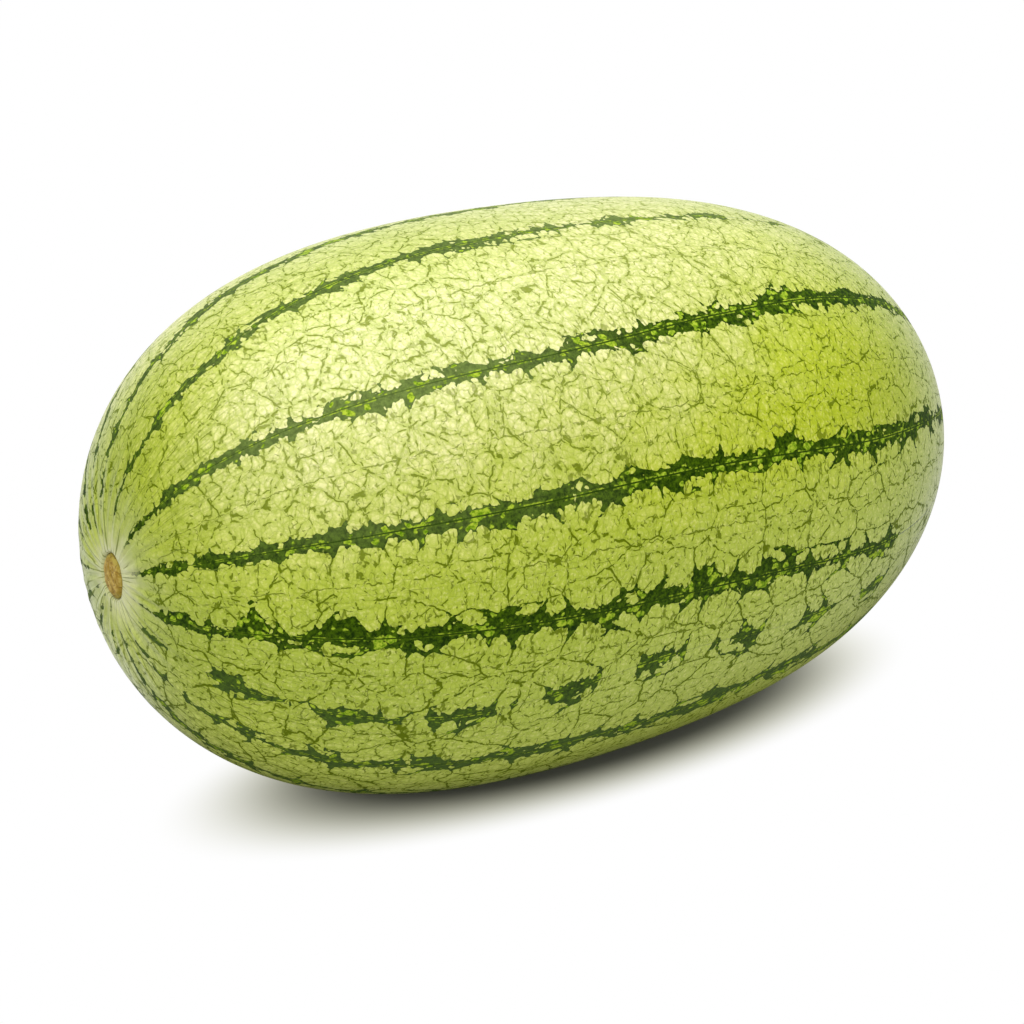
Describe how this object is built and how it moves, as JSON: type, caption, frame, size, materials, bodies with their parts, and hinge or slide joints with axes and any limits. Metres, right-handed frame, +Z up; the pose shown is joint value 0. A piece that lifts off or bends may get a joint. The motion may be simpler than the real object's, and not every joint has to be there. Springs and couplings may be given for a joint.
{
  "type": "watermelon",
  "caption": "Whole oblong watermelon with a striped rind, lying on its side on a small flat spot, with a stem scar at one end and a blossom scar at the other.",
  "frame": {"origin": "under the middle of the fruit's bounding box, on the surface it rests on", "axes": "+X along the fruit's long axis, from the stem scar at -X to the blossom scar at +X; +Z up from the surface it rests on"},
  "size_m": [0.378, 0.2184, 0.218],
  "materials": {
    "rind": "satin",
    "scar_cork": "matte"
  },
  "bodies": {
    "root": {"watermelon": "rind"}
  },
  "joints": []
}
